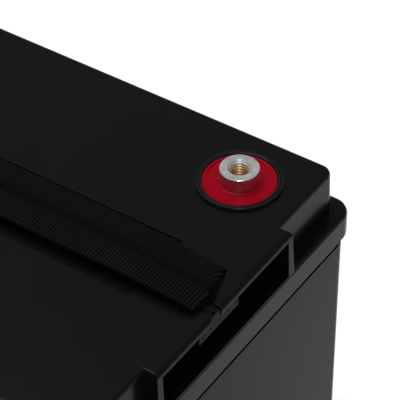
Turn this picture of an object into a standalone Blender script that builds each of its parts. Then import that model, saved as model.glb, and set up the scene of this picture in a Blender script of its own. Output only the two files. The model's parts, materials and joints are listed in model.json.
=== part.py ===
"""A 12.8 V battery pack: case, lid, strap handle, insert terminals and the cell stack inside.

Sizes are in millimetres here and become metres when an object is made. +X is the length, towards
the positive terminal; +Y is the width, towards the terminals' long side; +Z is up. The origin is
the middle of the underside.
"""
import math

import bmesh
import bpy
from mathutils import Vector

MM = 0.001
GAP = 0.3                      # clearance between pieces that touch

# Case and lid
LENGTH, WIDTH, LID_TOP = 330.0, 172.0, 215.0
LEDGE = 195.5                  # top of the lid's skirt
SKIRT_LOW = 184.4              # where the skirt's vertical face ends
SEAM = 180.0                   # lower edge of the lid
SEAM_GAP = 0.6
BLOCK_INSET = 5.7              # raised middle of the lid, in from the skirt
CASE_INSET = 1.9               # case wall, in from the skirt
CASE_DRAFT = 1.2               # how much narrower the case is at its foot, each side
CORNER = 8.0                   # plan radius of the skirt's corners
LID_WALL, FLOOR = 3.0, 3.5
INNER_X, INNER_Y = 160.0, 81.0     # half the space inside the tub
RIM_TOP = 186.0

# End pockets, with the plate that the strap hangs on
RIB_OUTER, RIB_INNER = 42.3, 39.4
PLATE_EDGE = 164.4
PLATE_LOW = 212.0
PLATE_ROUND = 2.2
POCKET_BACK, POCKET_FLOOR = 148.8, 190.8
CLIP_FACE = PLATE_EDGE - 0.4
CLIP_LOW = 207.6

# Terminals
TERMINAL_X, TERMINAL_Y = 133.2, 54.4
POST_RADIUS, POST_TOP = 7.5, 222.0
BORE_RADIUS, BORE_DEPTH = 3.6, 14.0
RING_RADIUS, COLLAR_RADIUS = 14.2, 16.6
WELL_RADIUS = 15.7
POST_FOOT = 203.2

# Strap
STRAP_WIDTH, STRAP_THICK = 25.0, 1.8
STRAP_LEVEL = LID_TOP + 3.6    # middle of the webbing's thickness over the lid
STRAP_MID = 42.0               # half the stretch that stays level when lifted
FOLD_GAP = 0.8                 # room for an arm of the strap to fold down beside the middle
STRAP_FALL = 2.3               # how much lower the webbing is where it enters its slot
SLOT_IN, SLOT_OUT = 152.2, 155.4
TAIL_X = 154.2                 # middle of the webbing in the slot
PIN_X, PIN_Z, PIN_RADIUS = 153.8, 200.5, 2.0

# Cell stack
CELL = (50.0, 160.0, 118.0)
CELL_PITCH = 51.6
CELL_FOOT = 14.1
PAD_Y = 59.0
STUD_RADIUS = 3.0
BUS_THICK = 2.0
PLATE_THICK = 3.0

# Battery management board
BOARD_Z = 152.0
BMS_SIZE = (112.0, 60.0)

ROUND = 40                     # sides of the round pieces that show


# ---------------------------------------------------------------- mesh tools

def rounded(half_x, half_y, radius, steps=6):
    """Plan outline of a rectangle with round corners."""
    points = []
    for quarter, (side_x, side_y) in enumerate(((1, 1), (-1, 1), (-1, -1), (1, -1))):
        for step in range(steps + 1):
            angle = math.radians(90 * (quarter + step / steps))
            points.append((side_x * (half_x - radius) + radius * math.cos(angle),
                           side_y * (half_y - radius) + radius * math.sin(angle)))
    return points


def circle(radius, steps, centre=(0.0, 0.0)):
    """Plan outline of a circle."""
    turns = [2 * math.pi * step / steps for step in range(steps)]
    return [(centre[0] + radius * math.cos(turn), centre[1] + radius * math.sin(turn)) for turn in turns]


def face_out(mesh):
    """Turn every face outwards, after its corners have moved."""
    mesh.normal_update()
    bmesh.ops.recalc_face_normals(mesh, faces=mesh.faces)
    return mesh


def skin(rings, closed=False):
    """A body through equal outlines at heights; capped at both ends, or closed into a ring."""
    mesh = bmesh.new()
    loops = [[mesh.verts.new((x, y, z)) for x, y in outline] for outline, z in rings]
    pairs = list(zip(loops, loops[1:]))
    if closed:
        pairs.append((loops[-1], loops[0]))
    else:
        mesh.faces.new(loops[0])
        mesh.faces.new(loops[-1])
    for low, high in pairs:
        for index, corner in enumerate(low):
            after = (index + 1) % len(low)
            mesh.faces.new((corner, low[after], high[after], high[index]))
    return face_out(mesh)


def turned(profile, centre, steps=ROUND, closed=False):
    """A turned body from (radius, height) points; closed for one with a through bore."""
    return skin([(circle(radius, steps, centre), height) for radius, height in profile], closed)


def box(low, high):
    """A block between two corners."""
    mesh = bmesh.new()
    bmesh.ops.create_cube(mesh, size=1.0)
    size = Vector(high) - Vector(low)
    bmesh.ops.scale(mesh, vec=size, verts=mesh.verts)
    bmesh.ops.translate(mesh, vec=(Vector(low) + Vector(high)) / 2, verts=mesh.verts)
    return mesh


def prism(outline, low, high):
    """A plan outline raised from one height to another."""
    return skin([(outline, low), (outline, high)])


def extruded_y(profile, low, high):
    """An outline in X and Z, carried along Y."""
    mesh = bmesh.new()
    near = [mesh.verts.new((x, low, z)) for x, z in profile]
    face = mesh.faces.new(near)
    moved = bmesh.ops.extrude_face_region(mesh, geom=[face])["geom"]
    verts = [item for item in moved if isinstance(item, bmesh.types.BMVert)]
    bmesh.ops.translate(mesh, vec=(0, high - low, 0), verts=verts)
    return face_out(mesh)


def ribbon(path, width, thick, offset_y=0.0):
    """A flat band along a path of (x, z) points, its width along Y."""
    upper, lower = [], []
    for index, here in enumerate(path):
        before, after = path[max(index - 1, 0)], path[min(index + 1, len(path) - 1)]
        along = Vector((after[0] - before[0], after[1] - before[1])).normalized()
        normal = Vector((-along[1], along[0])) * thick / 2
        upper.append((here[0] + normal[0], here[1] + normal[1]))
        lower.append((here[0] - normal[0], here[1] - normal[1]))
    return extruded_y(upper + lower[::-1], offset_y - width / 2, offset_y + width / 2)


def mirrored(mesh):
    """The same body at the other end of the pack."""
    for vert in mesh.verts:
        vert.co.x = -vert.co.x
    return face_out(mesh)


def joined(*meshes):
    """Several bodies in one mesh, for a cutter or a union."""
    result = bmesh.new()
    for part in meshes:
        copies = {vert: result.verts.new(vert.co) for vert in part.verts}
        for face in part.faces:
            result.faces.new([copies[vert] for vert in face.verts])
    return face_out(result)


# -------------------------------------------------------------- object tools

def material(name, colour, roughness, metallic=0.0):
    """A plain finish, made once and found again by name."""
    found = bpy.data.materials.get(name)
    if found:
        return found
    made = bpy.data.materials.new(name)
    made.use_nodes = True
    shader = made.node_tree.nodes["Principled BSDF"]
    shader.inputs["Base Color"].default_value = (*colour, 1.0)
    shader.inputs["Roughness"].default_value = roughness
    shader.inputs["Metallic"].default_value = metallic
    return made


def place(name, mesh, finish, smooth=None, origin=(0.0, 0.0, 0.0)):
    """Make a named object from a body in millimetres, with its origin at a point."""
    bmesh.ops.translate(mesh, vec=-Vector(origin), verts=mesh.verts)
    bmesh.ops.scale(mesh, vec=(MM, MM, MM), verts=mesh.verts)
    data = bpy.data.meshes.new(name)
    mesh.to_mesh(data)
    mesh.free()
    if smooth is not None:
        data.shade_smooth()
        data.set_sharp_from_angle(angle=math.radians(smooth))
    piece = bpy.data.objects.new(name, data)
    piece.location = Vector(origin) * MM
    data.materials.append(finish)
    bpy.context.collection.objects.link(piece)
    return piece


def shape(piece, mesh, operation):
    """Cut a body away from a piece, or join it on, with a hidden guide object."""
    guide = place(piece.name + "_" + operation.lower(), mesh, piece.data.materials[0])
    guide.hide_render = True
    guide.display_type = "WIRE"
    step = piece.modifiers.new(operation.title(), "BOOLEAN")
    step.operation = operation
    step.solver = "EXACT"
    step.object = guide


def tube(name, route, radius, finish):
    """A round lead along a smooth curve through a route's points."""
    curve = bpy.data.curves.new(name, "CURVE")
    curve.dimensions = "3D"
    curve.bevel_depth = radius * MM
    curve.bevel_resolution = 2
    curve.use_fill_caps = True
    points = smooth_route([Vector(point) for point in route], 2.2 * radius)
    spline = curve.splines.new("POLY")
    spline.points.add(len(points) - 1)
    for target, point in zip(spline.points, points):
        target.co = (*(point * MM), 1.0)
    curve.materials.append(finish)
    piece = bpy.data.objects.new(name, curve)
    bpy.context.collection.objects.link(piece)
    return piece


def smooth_route(route, spacing):
    """Points at a spacing along the Catmull-Rom curve through a route."""
    ends = [2 * route[0] - route[1], *route, 2 * route[-1] - route[-2]]
    points = []
    for before, start, stop, after in zip(ends, ends[1:], ends[2:], ends[3:]):
        count = max(1, round((stop - start).length / spacing))
        for step in range(count):
            t = step / count
            points.append(0.5 * (2 * start + (stop - before) * t
                                 + (2 * before - 5 * start + 4 * stop - after) * t ** 2
                                 + (3 * start - before - 3 * stop + after) * t ** 3))
    return points + [route[-1]]


# -------------------------------------------------------------------- finishes

def case_plastic():
    return material("case_plastic", (0.012, 0.012, 0.013), 0.22)


def webbing():
    return material("webbing", (0.008, 0.008, 0.009), 0.85)


def tinned():
    return material("tinned_brass", (0.72, 0.73, 0.70), 0.3, 1.0)


def copper():
    return material("copper", (0.80, 0.38, 0.22), 0.3, 1.0)


def steel():
    return material("steel", (0.55, 0.55, 0.56), 0.35, 1.0)


def foam():
    return material("foam", (0.03, 0.03, 0.032), 0.95)


# ------------------------------------------------------------- case and lid

def plan(inset, height, radius=None):
    """The pack's outline drawn in by an inset, at a height."""
    corner = max(CORNER - inset, 2.5) if radius is None else radius
    return rounded(LENGTH / 2 - inset, WIDTH / 2 - inset, corner), height


def build_tub():
    foot = CASE_INSET + CASE_DRAFT
    shoulder = SEAM - SEAM_GAP
    inner = LENGTH / 2 - INNER_X
    rim = CASE_INSET + 1.5
    rings = [plan(foot + 1.5, 0), plan(foot + 0.4, 0.5), plan(foot, 1.6),
             plan(CASE_INSET, shoulder), plan(rim, shoulder), plan(rim, RIM_TOP),
             plan(inner, RIM_TOP, 4.0), plan(inner, FLOOR, 4.0)]
    place("case_tub", skin(rings), case_plastic(), 30)


def build_lid():
    lip, skirt_in, rail_in = CASE_INSET + 0.4, CASE_INSET + 1.2, 8.4
    ceiling = LID_TOP - LID_WALL
    shoulder = RIM_TOP + 2.3
    rings = [plan(rail_in + 0.4, ceiling), plan(rail_in, shoulder),
             plan(skirt_in + 0.4, shoulder), plan(skirt_in, SEAM),
             plan(lip, SEAM), plan(0, SKIRT_LOW), plan(0, LEDGE - 1.5),
             plan(0.45, LEDGE - 0.45), plan(1.5, LEDGE), plan(BLOCK_INSET, LEDGE, 4.8),
             plan(BLOCK_INSET + 0.4, LID_TOP - 1.2, 4.5), plan(BLOCK_INSET + 0.75, LID_TOP - 0.35, 4.3),
             plan(BLOCK_INSET + 1.6, LID_TOP, 4.0)]
    lid = place("lid", skin(rings), case_plastic(), 30)
    shape(lid, joined(end_block(), mirrored(end_block())), "UNION")
    cutters = [end_cutter(part) for part in ("mouth", "sump", "slot")]
    cutters += [mirrored(end_cutter(part)) for part in ("mouth", "sump", "slot")]
    for cutter in cutters:
        shape(lid, cutter, "DIFFERENCE")
    shape(lid, box((-134, -16.5, LID_TOP - 0.9), (134, 16.5, LID_TOP + 5)), "DIFFERENCE")
    wells = [prism(circle(WELL_RADIUS, ROUND, (side * TERMINAL_X, TERMINAL_Y)), ceiling - 5, LID_TOP + 5)
             for side in (-1, 1)]
    shape(lid, joined(*wells), "DIFFERENCE")


def end_block():
    """The plate, ribs and pocket walls, before the pocket is cut."""
    back = POCKET_BACK - 2.6

    def ring(edge, half, height):
        return [(back, -half), (edge, -half), (edge, half), (back, half)], height

    draft, steps = 1.0, 4
    rings = [ring(PLATE_EDGE + 0.5, RIB_OUTER + draft, RIM_TOP + 2.6)]
    for step in range(steps + 1):
        turn = math.radians(90 * step / steps)
        drawn_in = PLATE_ROUND * (1 - math.cos(turn))
        height = LID_TOP - PLATE_ROUND * (1 - math.sin(turn))
        rings.append(ring(PLATE_EDGE - drawn_in, RIB_OUTER - 0.5 * drawn_in, height))
    return skin(rings)


def end_cutter(part):
    """What the pocket, its sump and the strap's slot take away at the +X end."""
    if part == "mouth":
        return box((POCKET_BACK, -RIB_INNER, LEDGE - 0.5), (LENGTH / 2 + 5, RIB_INNER, PLATE_LOW))
    if part == "sump":
        return box((POCKET_BACK, -RIB_INNER, POCKET_FLOOR), (LENGTH / 2 - 3.2, RIB_INNER, LEDGE))
    half = STRAP_WIDTH / 2 + 0.6
    beyond = PLATE_EDGE + 1.6
    outline = [(SLOT_IN, -half), (SLOT_OUT, -half), (156.0, -6.2), (158.6, -8.6), (160.4, -9.7),
               (beyond, -10.2), (beyond, -3.9), (161.0, -3.4), (SLOT_OUT, half), (SLOT_IN, half)]
    return prism(outline, PLATE_LOW - 2, LID_TOP + 3)


def build_seal():
    low, high = RIM_TOP + GAP, RIM_TOP + 2.0
    outer, inner = CASE_INSET + 1.7, CASE_INSET + 2.9
    rings = [plan(outer, low), plan(outer, high), plan(inner, high), plan(inner, low)]
    place("lid_seal", skin(rings, closed=True), material("seal", (0.02, 0.02, 0.02), 0.7), 30)


# ---------------------------------------------------------------- terminals

def build_terminal(side, polarity, ring_colour):
    centre = (side * TERMINAL_X, TERMINAL_Y)
    bore_end = POST_TOP - BORE_DEPTH
    flange = POST_FOOT + 4.8
    post = [(5.0, POST_FOOT), (5.0, 205.0), (11.5, 205.0), (11.5, flange), (POST_RADIUS, flange),
            (POST_RADIUS, POST_TOP - 0.3), (POST_RADIUS - 0.3, POST_TOP), (4.6, POST_TOP),
            (BORE_RADIUS, POST_TOP - 0.9), (BORE_RADIUS, bore_end), (0.8, bore_end - 1.4)]
    place("terminal_post_" + polarity, turned(post, centre), tinned(), 35)
    bore = POST_RADIUS + GAP
    ring = [(bore, flange + GAP), (RING_RADIUS, flange + GAP), (RING_RADIUS, 215.9),
            (RING_RADIUS - 0.4, 216.2), (RING_RADIUS - 1.1, 216.1), (RING_RADIUS - 1.7, 215.6),
            (bore + 1.2, 215.5), (bore, 215.8)]
    finish = material("terminal_" + polarity, ring_colour, 0.25)
    place("terminal_ring_" + polarity, turned(ring, centre, closed=True), finish, 35)
    inner = RING_RADIUS + GAP
    collar = [(inner, 209.0), (15.4, 209.0), (15.4, LID_TOP + GAP), (COLLAR_RADIUS, LID_TOP + GAP),
              (COLLAR_RADIUS, 216.1), (COLLAR_RADIUS - 0.3, 216.45), (inner + 0.5, 216.6), (inner, 216.3)]
    place("terminal_collar_" + polarity, turned(collar, centre, closed=True), case_plastic(), 35)


# -------------------------------------------------------------------- strap

def strap_path(start, stop):
    """The webbing's middle line from the pack's middle to the slot, as (x, z) points."""
    count, level_until = 9, 118.0
    points = []
    for step in range(count + 1):
        x = start + (stop - start) * step / count
        share = max(0.0, (x - level_until) / (SLOT_IN - 2.0 - level_until))
        points.append((x, STRAP_LEVEL - STRAP_FALL * share ** 1.6))
    return points


def build_strap():
    finish = webbing()
    mid = [(-STRAP_MID, STRAP_LEVEL), (STRAP_MID, STRAP_LEVEL)]
    place("strap_middle", ribbon(mid, STRAP_WIDTH, STRAP_THICK), finish, origin=(0, 0, STRAP_LEVEL))
    for side, label in ((1, "right"), (-1, "left")):
        long = ribbon(strap_path(STRAP_MID + FOLD_GAP, TAIL_X - 4.5), STRAP_WIDTH, STRAP_THICK)
        tail = ribbon(tail_path(), STRAP_WIDTH, STRAP_THICK)
        pin = pin_body()
        if side < 0:
            long, tail, pin = mirrored(long), mirrored(tail), mirrored(pin)
        hinge = (side * (STRAP_MID + FOLD_GAP / 2), 0, STRAP_LEVEL)
        place("strap_" + label, long, finish, origin=hinge)
        place("strap_tail_" + label, tail, finish)
        place("strap_pin_" + label, pin, steel(), 35)


def tail_path():
    """From the lid's level down the slot, then under and round the pin."""
    reach = PIN_RADIUS + GAP + STRAP_THICK / 2
    entry = STRAP_LEVEL - STRAP_FALL
    path = [(TAIL_X - 3.8, entry), (TAIL_X - 2.2, entry - 0.1), (TAIL_X - 1.0, entry - 0.6),
            (TAIL_X - 0.2, entry - 1.8), (TAIL_X, entry - 3.5), (TAIL_X + 0.1, entry - 5.7),
            (TAIL_X + 0.7, entry - 8.3), (TAIL_X + 2.2, entry - 12.1)]
    steps = 6
    for step in range(steps + 1):
        angle = math.radians(-180 * step / steps)
        path.append((PIN_X + reach * math.cos(angle), PIN_Z + reach * math.sin(angle)))
    return path


def pin_body():
    """The cross pin in the webbing's loop, along Y."""
    outline = circle(PIN_RADIUS, 16, (PIN_X, PIN_Z))
    return extruded_y(outline, -17.0, 17.0)


def build_clip(side, label):
    """The moulded keeper under the plate's edge, with its foot up in the slot's mouth."""
    body = box((CLIP_FACE - 5.6, -17.0, CLIP_LOW), (CLIP_FACE, 7.2, PLATE_LOW - GAP))
    outline = [(157.6, -6.9), (159.0, -8.3), (160.6, -9.3), (CLIP_FACE, -9.7),
               (CLIP_FACE, -4.4), (161.2, -4.0)]
    stem = prism(outline, CLIP_LOW + 1, LID_TOP - 0.7)
    holes = joined(*clip_holes())
    if side < 0:
        body, stem, holes = mirrored(body), mirrored(stem), mirrored(holes)
    clip = place("strap_clip_" + label, body, case_plastic())
    shape(clip, stem, "UNION")
    shape(clip, holes, "DIFFERENCE")


def clip_holes():
    """The keeper's blind holes: a row along its face, and two down into its foot."""
    pitch, first, deep = 5.35, -15.4, 1.4
    holes = []
    for step in range(5):
        hole = prism(circle(0.55, 8), -deep, 1.0)
        for vert in hole.verts:
            x, across, depth = vert.co
            vert.co = (CLIP_FACE + depth, first + pitch * step + x, CLIP_LOW + 2.4 + across)
        holes.append(face_out(hole))
    for radius, centre in ((0.5, (160.9, -7.2)), (0.8, (162.8, -6.9))):
        holes.append(prism(circle(radius, 8, centre), LID_TOP - 0.7 - deep, LID_TOP + 1))
    return holes


# --------------------------------------------------------------- cell stack

def cell_x(index):
    return (index - 1.5) * CELL_PITCH


def cell_top():
    return CELL_FOOT + CELL[2]


def pad_sides(index):
    """Which side each cell's plus and minus pads are on: they alternate along the stack."""
    return (-1, 1) if index % 2 == 0 else (1, -1)


def build_cells():
    blue = material("cell_wrap", (0.02, 0.10, 0.32), 0.35)
    for index in range(4):
        x, top = cell_x(index), cell_top()
        outline = [(x + a, b) for a, b in rounded(CELL[0] / 2, CELL[1] / 2, 2.5, 3)]
        cell = place("cell_" + str(index + 1), prism(outline, CELL_FOOT, top), blue, 30)
        pads = []
        for side in (-1, 1):
            pads.append(box((x - 9, side * PAD_Y - 8, top - 1), (x + 9, side * PAD_Y + 8, top + 2.5)))
        shape(cell, joined(*pads), "UNION")
        studs = [prism(circle(STUD_RADIUS, 12, (x, side * PAD_Y)), top + 1.5, top + 12) for side in (-1, 1)]
        shape(cell, joined(*studs), "UNION")


def build_stack_fittings():
    top = cell_top()
    pad = material("cell_pad", (0.75, 0.74, 0.70), 0.8)
    for index in range(3):
        x = (cell_x(index) + cell_x(index + 1)) / 2
        sheet = box((x - 0.5, -79, CELL_FOOT), (x + 0.5, 79, top - 1))
        place("cell_pad_" + str(index + 1), sheet, pad)
    end = cell_x(3) + CELL[0] / 2 + GAP
    alloy = material("aluminium", (0.78, 0.79, 0.80), 0.35, 1.0)
    for side, label in ((1, "right"), (-1, "left")):
        plate = box((end, -78.0, CELL_FOOT), (end + PLATE_THICK, 78.0, top))
        place("end_plate_" + label, plate if side > 0 else mirrored(plate), alloy)
    reach_x, reach_y, thick = end + PLATE_THICK + GAP, CELL[1] / 2 + GAP, 0.4
    for label, low in (("lower", 38.0), ("upper", 96.0)):
        outer = rounded(reach_x + thick, reach_y + thick, 1.4, 3)
        inner = rounded(reach_x, reach_y, 1.0, 3)
        rings = [(outer, low), (outer, low + 12), (inner, low + 12), (inner, low)]
        place("steel_band_" + label, skin(rings, closed=True), steel(), 30)
    mat = box((-INNER_X + 2, -INNER_Y + 2, FLOOR + GAP), (INNER_X - 2, INNER_Y - 2, CELL_FOOT - GAP))
    place("floor_mat", mat, foam())
    filler = reach_x + thick + GAP
    for side, label in ((1, "right"), (-1, "left")):
        block = box((filler, -78, CELL_FOOT), (INNER_X - 1.0, 78, top))
        place("foam_block_" + label, block if side > 0 else mirrored(block), foam())


def build_busbars():
    top = cell_top() + 2.5 + GAP
    for index in range(3):
        side = pad_sides(index)[0]
        first, last = cell_x(index), cell_x(index + 1)
        middle = (first + last) / 2
        path = [(first - 9, top + 1), (middle - 11, top + 1), (middle - 5, top + 5.5),
                (middle + 5, top + 5.5), (middle + 11, top + 1), (last + 9, top + 1)]
        bar = place("busbar_" + str(index + 1), ribbon(path, 18, BUS_THICK, side * PAD_Y), copper())
        holes = [prism(circle(STUD_RADIUS + GAP, 12, (x, side * PAD_Y)), top - 3, top + 8)
                 for x in (first, last)]
        shape(bar, joined(*holes), "DIFFERENCE")


def build_cell_nuts():
    """A nut on every stud, above its busbar or lug."""
    low = cell_top() + 2.5 + 2 * GAP + BUS_THICK
    for index in range(4):
        for side, label in ((-1, "front"), (1, "back")):
            centre = (cell_x(index), side * PAD_Y)
            profile = [(3.9, low), (5.8, low), (5.8, low + 5), (3.9, low + 5)]
            name = "cell_nut_" + str(index + 1) + "_" + label
            place(name, turned(profile, centre, 6, closed=True), steel())


# ---------------------------------------------------- electronics and leads

def build_board():
    low, deck, high = cell_top() + GAP, BOARD_Z - 4, BOARD_Z - GAP
    table = [(-100, high), (-100, low), (-92, low), (-92, deck), (-4, deck), (-4, low), (4, low),
             (4, deck), (92, deck), (92, low), (100, low), (100, high)]
    place("board_carrier", extruded_y(table, -42, 42), foam())
    glass = material("board_sheet", (0.45, 0.50, 0.22), 0.5)
    place("insulation_board", box((-104, -45, BOARD_Z), (104, 45, BOARD_Z + 1.5)), glass)


def build_bms():
    half_x, half_y = BMS_SIZE[0] / 2, BMS_SIZE[1] / 2
    low = BOARD_Z + 1.5 + GAP
    comb = [(-half_x, low), (half_x, low), (half_x, low + 4)]
    fins = 12
    pitch = 2 * half_x / (2 * fins - 1)
    for fin in range(fins):
        right = half_x - 2 * fin * pitch
        comb += [(right, low + 12), (right - pitch, low + 12)]
        if fin < fins - 1:
            comb += [(right - pitch, low + 4), (right - 2 * pitch, low + 4)]
    alloy = material("aluminium", (0.78, 0.79, 0.80), 0.35, 1.0)
    place("bms_heatsink", extruded_y(comb, -half_y, half_y), alloy)
    top = low + 12 + GAP
    green = material("circuit_board", (0.01, 0.16, 0.06), 0.4)
    board = place("bms_board", box((-half_x, -half_y, top), (half_x, half_y, top + 1.6)), green)
    chips = [box((-44 + 11 * step, side * 16 - 4, top + 1), (-36 + 11 * step, side * 16 + 4, top + 5))
             for step in range(9) for side in (-1, 1)]
    shape(board, joined(*chips), "UNION")
    white = material("connector", (0.8, 0.8, 0.76), 0.45)
    high = top + 1.6 + GAP
    place("bms_socket", box((-10, -8, high), (10, 0, high + 7)), white)
    place("harness_plug", box((-9, -8, high + 7 + GAP), (9, 0, high + 15)), white)
    return high


def build_lug(name, hole, height, heading):
    """A ring lug flat at a height, its barrel along a plan heading."""
    thick = BUS_THICK
    ring = turned([(3.4, height), (7.5, height), (7.5, height + thick), (3.4, height + thick)],
                  hole, 16, closed=True)
    lug = place(name, ring, tinned(), 35)
    along = Vector((math.cos(heading), math.sin(heading), 0.0))
    across = Vector((-along.y, along.x, 0.0))
    tongue = box((0, 0, 0), (1, 1, 1))
    barrel = prism(circle(4.6, 12), 0.0, 1.0)
    start = Vector((*hole, height))
    for vert in tongue.verts:
        x, y, z = vert.co
        rise = Vector((0, 0, 0.1 + (thick - 0.2) * z))
        vert.co = start + along * (5.5 + 12.5 * x) + across * (9 * y - 4.5) + rise
    for vert in barrel.verts:
        x, y, z = vert.co
        vert.co = start + along * (15 + 14 * z) + across * x + Vector((0, 0, 3.4 + y))
    for body in (tongue, barrel):
        shape(lug, face_out(body), "UNION")
    mouth = start + along * (29 + GAP) + Vector((0, 0, 3.4))
    return [mouth, mouth + along * 3, mouth + along * 7]


def build_leads(bms_top):
    """The three power leads, from the cells and the board to the posts."""
    cell_height = cell_top() + 2.5 + GAP
    post_height = POST_FOOT - GAP - BUS_THICK
    red = material("lead_red", (0.45, 0.01, 0.01), 0.45)
    black = material("lead_black", (0.01, 0.01, 0.01), 0.45)
    right, left = 0.0, math.pi
    start = build_lug("lug_cell_positive", (cell_x(3), PAD_Y), cell_height, right)
    stop = build_lug("lug_post_positive", (TERMINAL_X, TERMINAL_Y), post_height, left)
    route = start + [(128, 40, 152), (122, 24, 175), (100, 30, 192)] + stop[::-1]
    tube("lead_positive", route, 4.0, red)
    start = build_lug("lug_cell_negative", (cell_x(0), PAD_Y), cell_height, left)
    low = bms_top + 4.4
    route = start + [(-128, 40, 152), (-112, 12, 170), (-84, 4, low + 3), (-66, 2, low), (-48, 2, low)]
    tube("lead_cell_negative", route, 4.0, black)
    stop = build_lug("lug_post_negative", (-TERMINAL_X, TERMINAL_Y), post_height, right)
    route = [(22, 5, low), (34, 5, low), (54, 6, low + 6), (64, 24, 184), (40, 42, 197),
             (-30, 53, 204)] + stop[::-1]
    tube("lead_output_negative", route, 4.0, black)


def build_lug_screws():
    for side, label in ((1, "positive"), (-1, "negative")):
        centre = (side * TERMINAL_X, TERMINAL_Y)
        high = POST_FOOT - 2 * GAP - BUS_THICK
        profile = [(0.6, high - 4.2), (5.4, high - 4), (5.8, high - 3.6), (5.8, high)]
        place("lug_screw_" + label, turned(profile, centre, 6), steel())


def build_harness(bms_top):
    """The flat balance harness from its plug to the stack's front busbars."""
    start = bms_top + 15 + GAP
    route = [(-4.0, start), (-3.4, start + 4), (-6.5, start + 7), (-11, start + 4),
             (-13, start - 6)]
    grey = material("harness", (0.12, 0.12, 0.12), 0.6)
    mesh = ribbon(route, 14, 1.2)
    for vert in mesh.verts:
        x, y, z = vert.co
        vert.co = (y, x, z)
    place("balance_harness", face_out(mesh), grey)


# --------------------------------------------------------------------- build

def clear_scene():
    for piece in list(bpy.data.objects):
        bpy.data.objects.remove(piece, do_unlink=True)


def main():
    clear_scene()
    build_tub()
    build_lid()
    build_seal()
    build_terminal(1, "positive", (0.30, 0.002, 0.008))
    build_terminal(-1, "negative", (0.015, 0.015, 0.016))
    build_strap()
    build_clip(1, "right")
    build_clip(-1, "left")
    build_cells()
    build_stack_fittings()
    build_busbars()
    build_cell_nuts()
    build_board()
    bms_top = build_bms()
    build_leads(bms_top)
    build_lug_screws()
    build_harness(bms_top)


main()
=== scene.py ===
"""Looks of a sealed battery pack: moulded black case, woven strap handle and insert terminals.

Lengths are in metres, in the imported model's own frame: +X is the positive terminal's end, +Y the
side that both terminals are on, +Z is up, and the origin is the middle of the underside.
"""
import json
import math

import bmesh
import bpy
from mathutils import Matrix, Vector, noise


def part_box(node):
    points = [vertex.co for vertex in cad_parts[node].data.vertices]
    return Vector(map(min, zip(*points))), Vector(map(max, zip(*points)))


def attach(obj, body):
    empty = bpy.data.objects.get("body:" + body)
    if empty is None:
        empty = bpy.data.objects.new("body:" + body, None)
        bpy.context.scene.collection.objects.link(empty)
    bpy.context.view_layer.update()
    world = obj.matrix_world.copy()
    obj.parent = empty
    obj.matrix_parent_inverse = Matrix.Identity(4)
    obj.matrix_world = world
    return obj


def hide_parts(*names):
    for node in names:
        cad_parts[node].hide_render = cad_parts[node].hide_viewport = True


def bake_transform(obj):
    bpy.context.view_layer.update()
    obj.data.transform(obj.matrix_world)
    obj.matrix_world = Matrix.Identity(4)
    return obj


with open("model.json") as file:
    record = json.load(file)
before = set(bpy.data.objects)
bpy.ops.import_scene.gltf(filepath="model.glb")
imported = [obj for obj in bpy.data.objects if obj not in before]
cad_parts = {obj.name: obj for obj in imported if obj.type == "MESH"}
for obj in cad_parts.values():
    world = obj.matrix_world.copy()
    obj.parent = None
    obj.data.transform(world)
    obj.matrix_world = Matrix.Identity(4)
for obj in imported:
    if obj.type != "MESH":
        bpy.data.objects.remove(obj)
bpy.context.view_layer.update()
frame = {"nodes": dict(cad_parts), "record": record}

MM = 0.001

# Camera: where it looks, from how far and from which side
LOOK_AT = Vector((0.12673, 0.03797, 0.2150))
CAMERA_RANGE = 0.7099
CAMERA_HEADING = math.radians(35.13)
CAMERA_TILT = math.radians(42.16)
CAMERA_ROLL = math.radians(-1.17)
LENS = 174.42
SENSOR_WIDTH = 36.0
FARTHEST_SEEN = 30.0

# Light. A softbox is where it hangs, what it is aimed at, its width and its power in watts
SKY_LEVEL = 0.44
SKY_COLOUR = (0.97, 0.98, 1.0, 1.0)
OVERHEAD = {"place": (-0.35, 0.1, 2.0), "aim": (0.1, 0.1, 0.0), "size": 1.5, "power": 35.0}
EDGE_CARD = {"place": (0.80, -0.90, 1.28), "aim": (0.12, 0.0, 0.21), "size": 0.3, "power": 3.0}
FRONT_FILL = {"place": (1.3, -1.5, 1.2), "aim": (0.1, 0.0, 0.15), "size": 0.9, "power": 1.5}
FLOOR_SIZE = 9.0
FLOOR_SQUARES = 8

# Mouldings
BLACK = (0.0030, 0.0030, 0.0032)
SHARP_ANGLE = math.radians(18)     # faces that meet at more than this have an edge between them
WELD_DISTANCE = 0.002 * MM
EDGE_ROUNDING = {"lid": 0.35 * MM, "case_tub": 0.25 * MM}
EDGE_STEPS = 2

# Woven strap: its mesh
STRAP_HALF = 0.181                 # cut length of one half, from the middle of the lid to its end
STEPS_PER_RIB = 5
ACROSS = 48                        # faces across the webbing
LANES = 10                         # strips across it that each follow their own line
SELVEDGE_STEPS = 5                 # faces round each edge
CURVE_STEPS = 24                   # short lengths between two points of a route

# Woven strap: its weave
RIB_PITCH = 1.36 * MM              # one weft rib to the next
RIB_HEIGHT = 0.44 * MM
RIB_SUNK = 0.6                     # share of that height that lies inside the webbing's thickness
RIB_SLANT = 0.24                   # how far the ribs lean on the strap's back half
RIB_WANDER = 0.9 * MM              # how far a rib strays from its place
WANDER_GRAIN = (60.0, 90.0)        # how quickly it strays along and across, to the metre
WANDER_SEED = 3.0
SWAY = 0.12 * MM                   # how far the whole strap strays sideways
SWAY_GRAIN = 45.0
SWAY_SEED = 7.0
KNOT_PITCH = 1.6 * MM
BAND_PLACE = 0.9 * MM              # middle of the beaded band, behind the strap's own
BAND_WIDTH = 2.6 * MM
SELVEDGE_WEAVE = 0.45              # how much of the weave shows round the edges
YARN_PITCH = 1.24 * MM

# Woven strap: where its straight length has points, from the middle of the lid, in metres
STRAIGHT = (0.0, 0.040, 0.080, 0.112)

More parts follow.
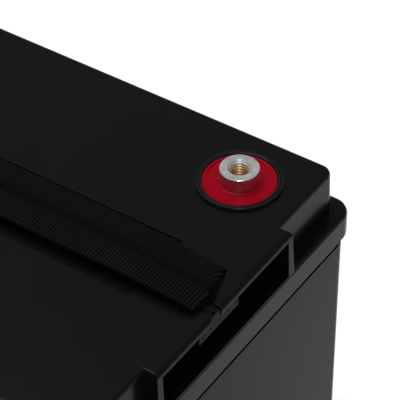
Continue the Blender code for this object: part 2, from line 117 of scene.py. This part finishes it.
# Woven strap: how its two edges go on from there. Each point is (past the slot, height) in
# millimetres. On the lid the height is over the strap's level, and elsewhere over the lid's top
FOLD_ON_LID = ((-28.2, 0.1), (-14.2, -0.2), (-4.0, -0.4), (1.2, -0.7))
FOLD_AT_SLOT = ((2.9, 2.0), (0.7, 0.2), (0.0, -1.8))
FLAT_ON_LID = ((-28.2, -0.5),)
FLAT_AT_SLOT = ((-17.2, 2.1), (-7.0, 1.45), (-2.6, 1.15), (-0.1, 0.45), (-0.1, -0.9), (-0.1, -2.4))
BULGE = 1.5 * MM                   # how far the middle of the fold leans out past both edges
BULGE_SKEW = 0.6
BULGE_SHARES = (0.0, 0.0, 0.4, 0.8, 1.0, 0.2, 0.0)
BELOW_LID = ((0.1, -4.4), (0.7, -7.0))

# Woven strap: its loop round the pin
SLOT_PAST_PIN = 0.4 * MM
PIN_PLAY = 0.3 * MM                # room between the pin and the webbing
PIN_APPROACH = (0.93, 1.1)         # last point before the loop, in radii of the loop from the pin
LOOP_POINTS = 8
LOOP_STEP = 28                     # degrees

# Screw thread in the terminals
THREAD_BORE = 3.58 * MM
THREAD_PITCH = 1.25 * MM
THREAD_DEPTH = 0.42 * MM
THREAD_SHARPNESS = 2.6
THREAD_BACKING = 0.06 * MM         # thickness of the sleeve behind the ridges
THREAD_TOP = 1.0 * MM              # below the top of the post
THREAD_LENGTH = 12.6 * MM
THREAD_SIDES = 44
THREAD_STEPS = 8                   # rows for one turn's height
THREAD_LEAD_IN = 4                 # rows over which the ridge grows

# Bead of potting round each post: (radius, height over the ring's floor) in millimetres
BEAD_PROFILE = ((7.5, -0.5), (8.9, -0.5), (8.9, -0.05), (8.4, 0.16), (7.95, 0.38), (7.5, 0.75))
RING_LIP = 0.55 * MM               # the ring's rim stands this far over its floor
BEAD_SIDES = 64


# ------------------------------------------------------------------- shader maths

class Value:
    """One socket of a finish. Sums and products of it add Math nodes."""

    def __init__(self, finish, socket):
        self.finish = finish
        self.socket = socket

    def __add__(self, other):
        return self.finish.maths("ADD", self, other)

    def __sub__(self, other):
        return self.finish.maths("SUBTRACT", self, other)

    def __rsub__(self, other):
        return self.finish.maths("SUBTRACT", other, self)

    def __mul__(self, other):
        return self.finish.maths("MULTIPLY", self, other)

    __radd__ = __add__
    __rmul__ = __mul__


class Finish:
    """A material, its one shader, and the nodes that vary it over the surface."""

    def __init__(self, name, constants):
        self.material = bpy.data.materials.new(name)
        self.material.use_nodes = True
        self.tree = self.material.node_tree
        self.shader = self.tree.nodes["Principled BSDF"]
        for socket, value in constants.items():
            self.fill(self.shader.inputs[socket], value)

    def fill(self, socket, value):
        """Put a number, a colour or another node's output into a socket."""
        if isinstance(value, Value):
            self.tree.links.new(value.socket, socket)
        elif hasattr(value, "__len__") and len(value) == 3 and socket.type == "RGBA":
            socket.default_value = (*value, 1.0)
        else:
            socket.default_value = value

    def node(self, kind, settings, sockets, output=0):
        """Add a node, set it up, fill its sockets and give back one of its outputs."""
        made = self.tree.nodes.new("ShaderNode" + kind)
        for name, value in settings.items():
            setattr(made, name, value)
        for name, value in sockets.items():
            self.fill(made.inputs[name], value)
        return Value(self, made.outputs[output])

    def maths(self, operation, first, second):
        return self.node("Math", {"operation": operation}, {0: first, 1: second})

    def place(self):
        """Where a point of the piece is, in metres."""
        return self.node("TexCoord", {}, {}, "Object")

    def length_and_width(self):
        """How far along and across a strip a point is, in metres."""
        return self.node("TexCoord", {}, {}, "UV")

    def marked(self, name):
        """A level from 0 to 1 that a piece's mesh carries at its points."""
        return self.node("Attribute", {"attribute_name": name}, {}, "Fac")

    def stretched(self, where, scale):
        """The same place, measured with another scale along each axis."""
        return self.node("VectorMath", {"operation": "MULTIPLY"}, {0: where, 1: scale})

    def noise(self, where, scale, detail=3.0, rough=0.5):
        """Soft noise from 0 to 1, so many lumps to the metre."""
        sockets = {"Vector": where, "Scale": scale, "Detail": detail, "Roughness": rough}
        return self.node("TexNoise", {}, sockets)

    def waves(self, where, scale, axis, distortion):
        """Even ridges from 0 to 1 along an axis, pi / 10 apart at scale 1."""
        settings = {"wave_type": "BANDS", "bands_direction": axis, "wave_profile": "SIN"}
        return self.node("TexWave", settings, {"Vector": where, "Scale": scale, "Distortion": distortion})

    def specks(self, where, scale):
        """Distance to the nearest of scattered points, in cells."""
        return self.node("TexVoronoi", {}, {"Vector": where, "Scale": scale})

    def between(self, value, low, high):
        """0 below one level, 1 above another, and smooth from one to the other."""
        sockets = {"Value": value, "From Min": low, "From Max": high}
        return self.node("MapRange", {"interpolation_type": "SMOOTHSTEP"}, sockets)

    def colour(self, share, first, second):
        """A mix of two colours."""
        return self.node("Mix", {"data_type": "RGBA"}, {0: share, 6: first, 7: second}, 2)

    def edges(self, radius):
        """0 on open faces, near 1 along sharp edges, where the finishes put edge wear and painted edge
        highlights.
        """
        bevel = self.node("Bevel", {"samples": 4}, {"Radius": radius})
        face = self.node("NewGeometry", {}, {}, "Normal")
        same = self.node("VectorMath", {"operation": "DOT_PRODUCT"}, {0: bevel, 1: face}, "Value")
        return 1.0 - self.between(same, low=0.80, high=0.995)

    def relief(self, height, strength, depth):
        """Let a height pattern tilt the surface."""
        bump = self.node("Bump", {}, {"Height": height, "Strength": strength, "Distance": depth})
        self.fill(self.shader.inputs["Normal"], bump)

    def vary(self, socket, value):
        """Let a shader's socket change over the surface."""
        self.fill(self.shader.inputs[socket], value)


def scaled(tone, share):
    """A colour made lighter or darker."""
    return tuple(share * level for level in tone)


# ------------------------------------------------------------------------ finishes

def moulded_black(name, roughness, edge_highlight_tone=2.4, specular=0.075):
    """Injection-moulded black plastic: glossy, with faint flow marks and wipe marks, and its edges
    painted paler as a painted highlight.
    """
    finish = Finish(name, {"IOR": 1.46, "Specular IOR Level": specular})
    where = finish.place()
    flow = finish.noise(where, scale=9.0, detail=2.0)
    wipes = finish.noise(finish.stretched(where, (60.0, 9.0, 25.0)), scale=1.0, detail=4.0, rough=0.6)
    grain = finish.noise(where, scale=1300.0, detail=2.0, rough=0.6)
    base = finish.colour(flow * 0.5, BLACK, scaled(BLACK, 1.35))
    # The black is painted paler along the edges: a painted edge highlight.
    edge = finish.edges(radius=0.45 * MM)
    finish.vary("Base Color", finish.colour(edge, base, scaled(BLACK, edge_highlight_tone)))
    finish.vary("Roughness", roughness + (flow - 0.5) * 0.05 + (wipes - 0.5) * 0.07)
    finish.relief(grain * 0.5 + flow, strength=0.12, depth=0.06 * MM)
    return finish.material


def woven_black():
    """Black polypropylene webbing: warp yarns over weft ribs, with dust and a painted highlight on the
    ribs and painted shade in the grooves between.
    """
    finish = Finish("woven_black", {"Specular IOR Level": 0.025})
    along = finish.length_and_width()
    rib = finish.marked("rib")
    yarns = finish.waves(along, scale=math.pi / 10 / YARN_PITCH, axis="Y", distortion=0.8)
    fuzz = finish.noise(along, scale=1500.0, rough=0.7)
    worn = finish.noise(along, scale=240.0, detail=4.0, rough=0.7)
    # The ribs get dust plus a painted highlight, and the near-black colour in the grooves is painted
    # shade.
    rib_highlight_and_dust = rib * rib * (0.05 + yarns * 0.2 + worn * 0.5 + fuzz * 0.6)
    finish.vary("Base Color", finish.colour(rib_highlight_and_dust, (0.0003, 0.0003, 0.0003), (0.0100, 0.0100, 0.0103)))
    finish.vary("Roughness", 0.55 + fuzz * 0.25)
    finish.relief(yarns * 0.5 + fuzz * 0.5, strength=0.35, depth=0.06 * MM)
    return finish.material


def turned_metal(name, bright, dull, roughness):
    """Turned and plated metal: fine tool rings, dull patches, and edges in the bright colour, partly worn
    plating and partly a painted highlight.
    """
    finish = Finish(name, {"Metallic": 1.0})
    where = finish.place()
    tarnish = finish.noise(where, scale=260.0, detail=4.0, rough=0.6)
    rings = finish.noise(finish.stretched(where, (420.0, 420.0, 6.0)), scale=1.0, detail=2.0)
    patch = finish.between(tarnish, low=0.35, high=0.75)
    face = finish.colour(patch * 0.6, dull, scaled(dull, 0.8))
    # Edges take the bright colour: partly worn plating, partly a painted rim highlight.
    finish.vary("Base Color", finish.colour(finish.edges(radius=0.5 * MM), face, bright))
    finish.vary("Roughness", roughness + patch * 0.12 + (rings - 0.5) * 0.10)
    finish.relief(rings * 0.6 + tarnish * 0.4, strength=0.15, depth=0.04 * MM)
    return finish.material


def moulded_colour(name, tone, deep, roughness, specular=0.5):
    """Small glossy coloured moulding, such as a polarity ring or a connector."""
    finish = Finish(name, {"Specular IOR Level": specular})
    where = finish.place()
    clouds = finish.noise(where, scale=140.0)
    fine = finish.noise(where, scale=1500.0, detail=2.0)
    deeper = clouds * 0.6 + finish.edges(radius=0.4 * MM) * 0.3
    finish.vary("Base Color", finish.colour(deeper, tone, deep))
    finish.vary("Roughness", roughness + clouds * 0.08 + fine * 0.04)
    finish.relief(fine * 0.4 + clouds, strength=0.15, depth=0.05 * MM)
    return finish.material


def rolled_metal(name, bright, dull, roughness, grain):
    """Sheet or bar metal with rolling lines along one way, scuffs and oxide bloom."""
    finish = Finish(name, {"Metallic": 1.0})
    where = finish.place()
    lines = finish.noise(finish.stretched(where, grain), scale=1.0, detail=4.0, rough=0.6)
    oxide = finish.noise(where, scale=45.0, detail=4.0, rough=0.6)
    bloom = finish.between(oxide, low=0.4, high=0.8)
    finish.vary("Base Color", finish.colour(bloom, bright, dull))
    finish.vary("Roughness", roughness + (lines - 0.5) * 0.2 + bloom * 0.15)
    finish.relief(lines, strength=0.3, depth=0.05 * MM)
    return finish.material


def rubbery(name, tone, pale, roughness, scale):
    """Seals, sleeves and lead jackets: matt, slightly chalky, with a fine skin."""
    finish = Finish(name, {"Specular IOR Level": 0.35})
    where = finish.place()
    chalk = finish.noise(where, scale=scale, detail=4.0, rough=0.6)
    skin = finish.noise(where, scale=scale * 9.0, detail=2.0)
    chalky = finish.between(chalk, low=0.45, high=0.8)
    finish.vary("Base Color", finish.colour(chalky * 0.6, tone, pale))
    finish.vary("Roughness", roughness + (chalk - 0.5) * 0.2)
    finish.relief(skin * 0.5 + chalk * 0.5, strength=0.3, depth=0.08 * MM)
    return finish.material


def open_foam(name, tone, pale):
    """Cushioning foam: a fine cell pattern with a few larger bubbles."""
    finish = Finish(name, {"Specular IOR Level": 0.2})
    where = finish.place()
    cells = finish.specks(where, scale=900.0)
    bubbles = finish.specks(where, scale=260.0)
    finish.vary("Base Color", finish.colour(cells * 0.7, tone, pale))
    finish.vary("Roughness", 0.85 + cells * 0.1)
    finish.relief(cells * 0.6 + bubbles * 0.4, strength=0.7, depth=0.4 * MM)
    return finish.material


def shrink_wrap(name, tone, deep):
    """Plain film shrunk over a cell: glossy, with stretch wrinkles."""
    finish = Finish(name, {"Specular IOR Level": 0.5})
    where = finish.place()
    wrinkles = finish.noise(finish.stretched(where, (40.0, 40.0, 260.0)), scale=1.0)
    clouds = finish.noise(where, scale=30.0, detail=2.0)
    finish.vary("Base Color", finish.colour(clouds, tone, deep))
    finish.vary("Roughness", 0.26 + wrinkles * 0.14)
    finish.relief(wrinkles, strength=0.4, depth=0.15 * MM)
    return finish.material


def pressed_sheet(name, tone, pale, scale):
    """Glass-cloth or fish-paper board: a fine crossed weave under resin."""
    finish = Finish(name, {"Specular IOR Level": 0.45})
    where = finish.place()
    weft = finish.waves(where, scale=scale, axis="X", distortion=0.4)
    warp = finish.waves(where, scale=scale, axis="Y", distortion=0.4)
    clouds = finish.noise(where, scale=55.0)
    finish.vary("Base Color", finish.colour(weft * warp * 0.5 + clouds * 0.4, tone, pale))
    finish.vary("Roughness", 0.38 + clouds * 0.2)
    finish.relief(weft + warp, strength=0.3, depth=0.06 * MM)
    return finish.material


def metals():
    """Finishes of the metal slots, and of the bare brass thread."""
    return {
        # The bright colour goes on the edges: partly worn plating, partly a painted rim highlight.
        "tinned_brass": turned_metal("tinned_brass", bright=(0.97, 0.97, 0.94),
                                     dull=(0.56, 0.56, 0.53), roughness=0.24),
        "thread": turned_metal("thread_brass", bright=(0.84, 0.68, 0.44),
                               dull=(0.62, 0.46, 0.26), roughness=0.30),
        "aluminium": rolled_metal("aluminium", bright=(0.80, 0.81, 0.82), dull=(0.62, 0.63, 0.64),
                                  roughness=0.32, grain=(900.0, 12.0, 60.0)),
        "copper": rolled_metal("copper", bright=(0.86, 0.42, 0.26), dull=(0.50, 0.22, 0.12),
                               roughness=0.28, grain=(30.0, 900.0, 60.0)),
        "steel": rolled_metal("steel", bright=(0.60, 0.60, 0.61), dull=(0.42, 0.42, 0.43),
                              roughness=0.30, grain=(60.0, 60.0, 900.0)),
    }


def plastics():
    """Finishes of the moulded and woven slots, and of three mouldings with a finish of their own."""
    return {
        "case_plastic": moulded_black("moulded_black", roughness=0.20),
        # The collar's own finish paints its edges much paler: a painted highlight line round its top
        # edge.
        "collar": moulded_black("collar_black_painted_highlight", roughness=0.24, edge_highlight_tone=16.0),
        "clip": moulded_black("clip_black", roughness=0.36, edge_highlight_tone=3.0, specular=0.03),
        "tub": moulded_black("tub_black", roughness=0.22, specular=0.045),
        "webbing": woven_black(),
        "ring_red": moulded_colour("ring_red", tone=(0.235, 0.0004, 0.0075), deep=(0.14, 0.0003, 0.005),
                                   roughness=0.22, specular=0.04),
        "ring_black": moulded_colour("ring_black", tone=(0.008, 0.008, 0.009),
                                     deep=(0.02, 0.02, 0.022), roughness=0.2),
        "connector": moulded_colour("connector_nylon", tone=(0.78, 0.77, 0.70),
                                    deep=(0.66, 0.64, 0.56), roughness=0.4),
        "cell_can": shrink_wrap("cell_wrap", tone=(0.015, 0.09, 0.32), deep=(0.01, 0.06, 0.22)),
    }


def rubbers_and_boards():
    """Finishes of the seals, leads, foam and sheet slots."""
    return {
        "seal": rubbery("seal_rubber", tone=(0.015, 0.015, 0.015), pale=(0.05, 0.05, 0.05),
                        roughness=0.7, scale=300.0),
        "lead_red": rubbery("lead_red", tone=(0.42, 0.008, 0.008), pale=(0.50, 0.05, 0.045),
                            roughness=0.42, scale=120.0),
        "lead_black": rubbery("lead_black", tone=(0.010, 0.010, 0.010), pale=(0.035, 0.035, 0.035),
                              roughness=0.42, scale=120.0),
        "harness": rubbery("harness", tone=(0.08, 0.08, 0.085), pale=(0.16, 0.16, 0.16),
                           roughness=0.55, scale=200.0),
        "foam": open_foam("foam", tone=(0.02, 0.02, 0.022), pale=(0.05, 0.05, 0.052)),
        "cell_sheet": pressed_sheet("cell_sheet", tone=(0.62, 0.60, 0.52), pale=(0.76, 0.75, 0.70),
                                    scale=180.0),
        "board_sheet": pressed_sheet("glass_board", tone=(0.40, 0.46, 0.18), pale=(0.52, 0.57, 0.28),
                                     scale=120.0),
        "circuit_board": pressed_sheet("circuit_board", tone=(0.006, 0.12, 0.045),
                                       pale=(0.02, 0.22, 0.09), scale=160.0),
    }


# ------------------------------------------------------------------- edges of mouldings

def edge_group():
    """A node tree that welds a piece's corners and marks its edges smooth or sharp by angle."""
    group = bpy.data.node_groups.new("soft_edges", "GeometryNodeTree")
    group.interface.new_socket("Geometry", in_out="INPUT", socket_type="NodeSocketGeometry")
    group.interface.new_socket("Geometry", in_out="OUTPUT", socket_type="NodeSocketGeometry")
    start = group.nodes.new("NodeGroupInput")
    weld = group.nodes.new("GeometryNodeMergeByDistance")
    weld.inputs["Distance"].default_value = WELD_DISTANCE
    forget = group.nodes.new("GeometryNodeRemoveAttribute")
    forget.inputs["Name"].default_value = "custom_normal"
    smooth = group.nodes.new("GeometryNodeSetShadeSmooth")
    sharp = group.nodes.new("GeometryNodeSetShadeSmooth")
    sharp.domain = "EDGE"
    sharp.inputs["Shade Smooth"].default_value = False
    end = group.nodes.new("NodeGroupOutput")
    chain = (start, weld, forget, smooth, sharp, end)
    for source, target in zip(chain, chain[1:]):
        group.links.new(source.outputs[0], target.inputs[0])
    angle = group.nodes.new("GeometryNodeInputMeshEdgeAngle")
    steep = group.nodes.new("FunctionNodeCompare")
    steep.operation = "GREATER_THAN"
    steep.inputs[1].default_value = SHARP_ANGLE
    group.links.new(angle.outputs[0], steep.inputs[0])
    group.links.new(steep.outputs[0], sharp.inputs["Selection"])
    return group


def soften(piece, group, width):
    """Round a moulding's sharp edges, as a real tool leaves them."""
    piece.modifiers.new("weld", "NODES").node_group = group
    bevel = piece.modifiers.new("edges", "BEVEL")
    bevel.width = width
    bevel.segments = EDGE_STEPS
    bevel.limit_method = "ANGLE"
    bevel.angle_limit = SHARP_ANGLE
    bevel.harden_normals = False
    bevel.use_clamp_overlap = True
    weight = piece.modifiers.new("shade", "WEIGHTED_NORMAL")
    weight.keep_sharp = False


def dress_frame(palette):
    """Give every carried-over part its finish, and round the edges of the shells."""
    slots = {entry["node"]: entry["material_slot"] for entry in frame["record"]["subparts"]}
    own_finish = {"terminal_collar": "collar", "strap_clip": "clip", "case_tub": "tub"}
    group = edge_group()
    for name, piece in frame["nodes"].items():
        finish = palette[slots[name]]
        for start, own in own_finish.items():
            if name.startswith(start):
                finish = palette[own]
        piece.data.materials.clear()
        piece.data.materials.append(finish)
        if name in EDGE_ROUNDING:
            soften(piece, group, EDGE_ROUNDING[name])


# ------------------------------------------------------------------------- mesh tools

def new_piece(name, mesh, finish):
    """Turn a finished mesh into a shown piece, shaded smooth."""
    data = bpy.data.meshes.new(name)
    mesh.to_mesh(data)
    mesh.free()
    data.shade_smooth()
    data.materials.append(finish)
    piece = bpy.data.objects.new(name, data)
    bpy.context.scene.collection.objects.link(piece)
    return piece


def face_outwards(mesh):
    """Turn every face of a closed mesh to the outside."""
    mesh.normal_update()
    bmesh.ops.recalc_face_normals(mesh, faces=mesh.faces)


def ring_of_corners(mesh, centre, height, radii):
    """Corners at even turns about an upright axis, each at its own radius."""
    corners = []
    for step, radius in enumerate(radii):
        turn = 2 * math.pi * step / len(radii)
        corners.append(mesh.verts.new((centre.x + radius * math.cos(turn),
                                       centre.y + radius * math.sin(turn), height)))
    return corners


def join_rings(mesh, first, second):
    """Close the gap between two rings with one face for each side."""
    for index, corner in enumerate(first):
        after = (index + 1) % len(first)
        mesh.faces.new((corner, first[after], second[after], second[index]))


def fine_curve(route):
    """Many short steps along the Catmull-Rom curve through a route."""
    ends = [2 * route[0] - route[1], *route, 2 * route[-1] - route[-2]]
    points = []
    for before, start, stop, after in zip(ends, ends[1:], ends[2:], ends[3:]):
        for step in range(CURVE_STEPS):
            t = step / CURVE_STEPS
            points.append(0.5 * (2 * start + (stop - before) * t
                                 + (2 * before - 5 * start + 4 * stop - after) * t ** 2
                                 + (3 * start - before - 3 * stop + after) * t ** 3))
    points.append(route[-1])
    return points


def smooth_curve(route, spacing, count):
    """So many points at an even spacing along the smooth curve through a route."""
    fine = fine_curve(route)
    lengths = [0.0]
    for first, second in zip(fine, fine[1:]):
        lengths.append(lengths[-1] + (second - first).length)
    points = []
    at = 0
    for step in range(count + 1):
        want = spacing * step
        while at < len(fine) - 2 and lengths[at + 1] < want:
            at += 1
        span = lengths[at + 1] - lengths[at]
        points.append(fine[at].lerp(fine[at + 1], (want - lengths[at]) / span))
    return points


# ------------------------------------------------------------------------------ strap

def from_slot(slot, level, places):
    """Points of a strap route, from places in millimetres past the slot and over a level."""
    return [Vector((slot + past * MM, level + height * MM)) for past, height in places]


def strap_route(side, end, edge):
    """The middle line of one edge of the webbing: along the lid, down its slot and round its pin.

    The front edge (0) stands proud of the slot in a loose fold. The back edge (1) lies down into it.
    """
    low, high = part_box("strap_middle")
    level = (low.z + high.z) / 2
    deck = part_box("lid")[1].z
    pin_low, pin_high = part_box("strap_pin_" + end)
    pin = (pin_low + pin_high) / 2
    pin.x = abs(pin.x)
    slot = pin.x + SLOT_PAST_PIN
    fold = from_slot(slot, level, FOLD_ON_LID) + from_slot(slot, deck, FOLD_AT_SLOT)
    flat = from_slot(slot, level, FLAT_ON_LID) + from_slot(slot, deck, FLAT_AT_SLOT)
    bulge = BULGE * math.sin(math.pi * edge ** BULGE_SKEW)
    points = [Vector((place, level)) for place in STRAIGHT]
    for first, last, share in zip(fold, flat, BULGE_SHARES):
        points.append(first.lerp(last, edge) + Vector((bulge * share, 0.0)))
    points += from_slot(slot, deck, BELOW_LID)
    radius = (pin_high.z - pin_low.z) / 2 + (high.z - low.z) / 2 + PIN_PLAY
    points.append(Vector((pin.x + radius * PIN_APPROACH[0], pin.z + radius * PIN_APPROACH[1])))
    for step in range(LOOP_POINTS):
        turn = math.radians(-LOOP_STEP * step)
        points.append(Vector((pin.x + radius * math.cos(turn), pin.z + radius * math.sin(turn))))
    return [Vector((side * x, 0.0, z)) for x, z in points]


def rib_height(along, across):
    """How far the weave stands out at a place on the webbing, from 0 to 1."""
    lean = RIB_SLANT * max(0.0, across)
    grain_along, grain_across = WANDER_GRAIN
    wander = RIB_WANDER * noise.noise(Vector((along * grain_along, across * grain_across, WANDER_SEED)))
    phase = (along - lean + wander) / RIB_PITCH
    rib = abs(math.sin(math.pi * phase))
    between = abs(math.sin(math.pi * (phase + 0.5)))
    knots = 0.5 + 0.5 * math.cos(2 * math.pi * (across + 0.5 * wander) / KNOT_PITCH)
    band = math.exp(-((across - BAND_PLACE) / BAND_WIDTH) ** 2)
    return (1 - band) * rib * (0.80 + 0.20 * knots) + band * between * knots


def section(half_width, half_thick):
    """The webbing's cross-section, once round: (across, up, how much of the weave shows)."""
    points = []
    straight = half_width - half_thick
    for face in (1, -1):
        for step in range(ACROSS + 1):
            across = face * (1 - 2 * step / ACROSS) * straight
            points.append((across, face * half_thick, 1.0))
        for step in range(1, SELVEDGE_STEPS):
            turn = math.pi * step / SELVEDGE_STEPS
            across = -face * (straight + half_thick * math.sin(turn))
            points.append((across, face * half_thick * math.cos(turn), SELVEDGE_WEAVE))
    return points


def edge_line(side, end, edge, rows):
    """Points and upward directions along one strip of the webbing, one for each row of its mesh."""
    route = smooth_curve(strap_route(side, end, edge), STRAP_HALF / rows, rows)
    line = []
    for index, point in enumerate(route):
        along = (route[min(index + 1, rows)] - route[max(index - 1, 0)]).normalized()
        line.append((point, Vector((-along.z, 0.0, along.x)) * side))
    return line


def webbing_ring(mesh, rib_level, strips, travel, outline, half_width, sway):
    """One row of the webbing's corners, once round its cross-section, with the weave raised.

    Each strip gives its point and its upward direction at this row.
    """
    ring = []
    for across, out, share in outline:
        lane = (0.5 + 0.5 * across / half_width) * LANES
        first = min(int(lane), LANES - 1)
        front_point, front_up = strips[first]
        back_point, back_up = strips[first + 1]
        point = front_point.lerp(back_point, lane - first)
        up = front_up.lerp(back_up, lane - first).normalized()
        rib = rib_height(travel, across)
        lift = RIB_HEIGHT * rib * share * math.copysign(1.0, out)
        corner = mesh.verts.new(point + up * (out + lift) + Vector((0.0, across + sway, 0.0)))
        corner[rib_level] = rib
        ring.append(corner)
    return ring


def webbing_skin(mesh, side, outline, rings):
    """Faces between the rows, each corner marked with its length and width along the strap."""
    layer = mesh.loops.layers.uv.new("length_and_width")
    rows = len(rings) - 1
    for index in range(rows):
        for spot in range(len(outline)):
            after = (spot + 1) % len(outline)
            corners = ((index, spot), (index, after), (index + 1, after), (index + 1, spot))
            face = mesh.faces.new([rings[row][column] for row, column in corners])
            for loop, (row, column) in zip(face.loops, corners):
                loop[layer].uv = (STRAP_HALF * row / rows * side, outline[column][0])
    for ring in (rings[0], rings[-1]):
        mesh.faces.new(ring)


def weave(side, end, finish):
    """One half of the strap: ribbed webbing from the middle of the lid to round its pin."""
    low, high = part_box("strap_middle")
    half_thick = (high.z - low.z) / 2
    half_width = (high.y - low.y) / 2
    rows = round(STRAP_HALF / RIB_PITCH * STEPS_PER_RIB)
    lines = [edge_line(side, end, lane / LANES, rows) for lane in range(LANES + 1)]
    outline = section(half_width, half_thick - RIB_HEIGHT * RIB_SUNK)
    mesh = bmesh.new()
    rib_level = mesh.verts.layers.float.new("rib")
    rings = []
    for index in range(rows + 1):
        strips = [line[index] for line in lines]
        travel = STRAP_HALF * index / rows
        sway = SWAY * noise.noise(Vector((travel * SWAY_GRAIN, SWAY_SEED, side)))
        rings.append(webbing_ring(mesh, rib_level, strips, travel, outline, half_width, sway))
    webbing_skin(mesh, side, outline, rings)
    face_outwards(mesh)
    piece = new_piece("strap_webbing_" + end, mesh, finish)
    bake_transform(piece)
    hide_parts("strap_" + end, "strap_tail_" + end, "strap_middle")


# ---------------------------------------------------------------------------- terminals

def ridge_shares(height):
    """How far the thread stands into the bore all round at one height, from 0 to 1."""
    shares = []
    for step in range(THREAD_SIDES):
        phase = (height / THREAD_PITCH - step / THREAD_SIDES) % 1.0
        shares.append(max(0.0, 1.0 - abs(phase - 0.5) * THREAD_SHARPNESS))
    return shares


def thread(polarity, finish):
    """The screw thread inside a terminal's bore, as a thin sleeve with helical ridges."""
    low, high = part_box("terminal_post_" + polarity)
    centre = (low + high) / 2
    rows = round(THREAD_LENGTH / THREAD_PITCH * THREAD_STEPS)
    mesh = bmesh.new()
    inner = []
    outer = []
    for row in range(rows + 1):
        height = high.z - THREAD_TOP - THREAD_LENGTH * row / rows
        ridge = THREAD_DEPTH * min(1.0, row / THREAD_LEAD_IN)
        radii = [THREAD_BORE - THREAD_BACKING - ridge * share for share in ridge_shares(height)]
        inner.append(ring_of_corners(mesh, centre, height, radii))
        outer.append(ring_of_corners(mesh, centre, height, [THREAD_BORE] * THREAD_SIDES))
    for wall in (inner, outer):
        for first, second in zip(wall, wall[1:]):
            join_rings(mesh, first, second)
    for row in (0, -1):
        join_rings(mesh, inner[row], outer[row])
    face_outwards(mesh)
    piece = new_piece("terminal_thread_" + polarity, mesh, finish)
    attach(piece, "pack")


def bead(polarity, finish):
    """The bead of potting resin that closes the joint between a post and its ring."""
    low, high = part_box("terminal_ring_" + polarity)
    centre = (low + high) / 2
    floor = high.z - RING_LIP
    mesh = bmesh.new()
    rings = [ring_of_corners(mesh, centre, floor + height * MM, [radius * MM] * BEAD_SIDES)
             for radius, height in BEAD_PROFILE]
    for first, second in zip(rings, rings[1:] + rings[:1]):
        join_rings(mesh, first, second)
    face_outwards(mesh)
    piece = new_piece("terminal_bead_" + polarity, mesh, finish)
    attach(piece, "pack")


# ------------------------------------------------------------------------ stage and light

def build_stage():
    """A plain pale floor under the pack."""
    finish = Finish("pale_floor", {"Roughness": 0.75, "Specular IOR Level": 0.2})
    clouds = finish.noise(finish.place(), scale=3.0)
    finish.vary("Base Color", finish.colour(clouds, (0.93, 0.93, 0.93), (0.95, 0.95, 0.95)))
    mesh = bmesh.new()
    bmesh.ops.create_grid(mesh, x_segments=FLOOR_SQUARES, y_segments=FLOOR_SQUARES, size=FLOOR_SIZE / 2)
    new_piece("floor", mesh, finish.material)


def softbox(name, place, aim, size, power):
    """A square area light aimed at a point."""
    light = bpy.data.lights.new(name, "AREA")
    light.shape = "SQUARE"
    light.size = size
    light.energy = power
    lamp = bpy.data.objects.new(name, light)
    lamp.location = place
    lamp.rotation_euler = (Vector(aim) - Vector(place)).to_track_quat("-Z", "Y").to_euler()
    bpy.context.scene.collection.objects.link(lamp)


def build_light():
    """A pale sky, a big soft light above, a weak one in front and a small card for bright edges."""
    scene = bpy.context.scene
    scene.view_settings.view_transform = "Standard"
    scene.world = bpy.data.worlds.new("studio")
    scene.world.use_nodes = True
    sky = scene.world.node_tree.nodes["Background"]
    sky.inputs["Color"].default_value = SKY_COLOUR
    sky.inputs["Strength"].default_value = SKY_LEVEL
    softbox("overhead", **OVERHEAD)
    softbox("rim_card", **EDGE_CARD)
    softbox("front_fill", **FRONT_FILL)


def build_camera():
    """A long lens, high over the positive terminal's end of the front."""
    camera = bpy.data.objects.new("camera", bpy.data.cameras.new("camera"))
    heading = Matrix.Rotation(CAMERA_HEADING, 4, "Z")
    tilt = Matrix.Rotation(math.pi / 2 - CAMERA_TILT, 4, "X")
    roll = Matrix.Rotation(CAMERA_ROLL, 4, "Z")
    turn = heading @ tilt @ roll
    back = turn.col[2].to_3d()
    camera.matrix_world = Matrix.Translation(LOOK_AT + back * CAMERA_RANGE) @ turn
    camera.data.lens = LENS
    camera.data.sensor_width = SENSOR_WIDTH
    camera.data.clip_end = FARTHEST_SEEN
    bpy.context.scene.collection.objects.link(camera)
    bpy.context.scene.camera = camera


# ------------------------------------------------------------------------------- build

build_camera()
palette = {**plastics(), **metals(), **rubbers_and_boards()}
dress_frame(palette)
for side, end in ((1, "right"), (-1, "left")):
    weave(side, end, palette["webbing"])
for polarity, ring_finish in (("positive", "ring_red"), ("negative", "ring_black")):
    thread(polarity, palette["thread"])
    bead(polarity, palette[ring_finish])
build_stage()
build_light()
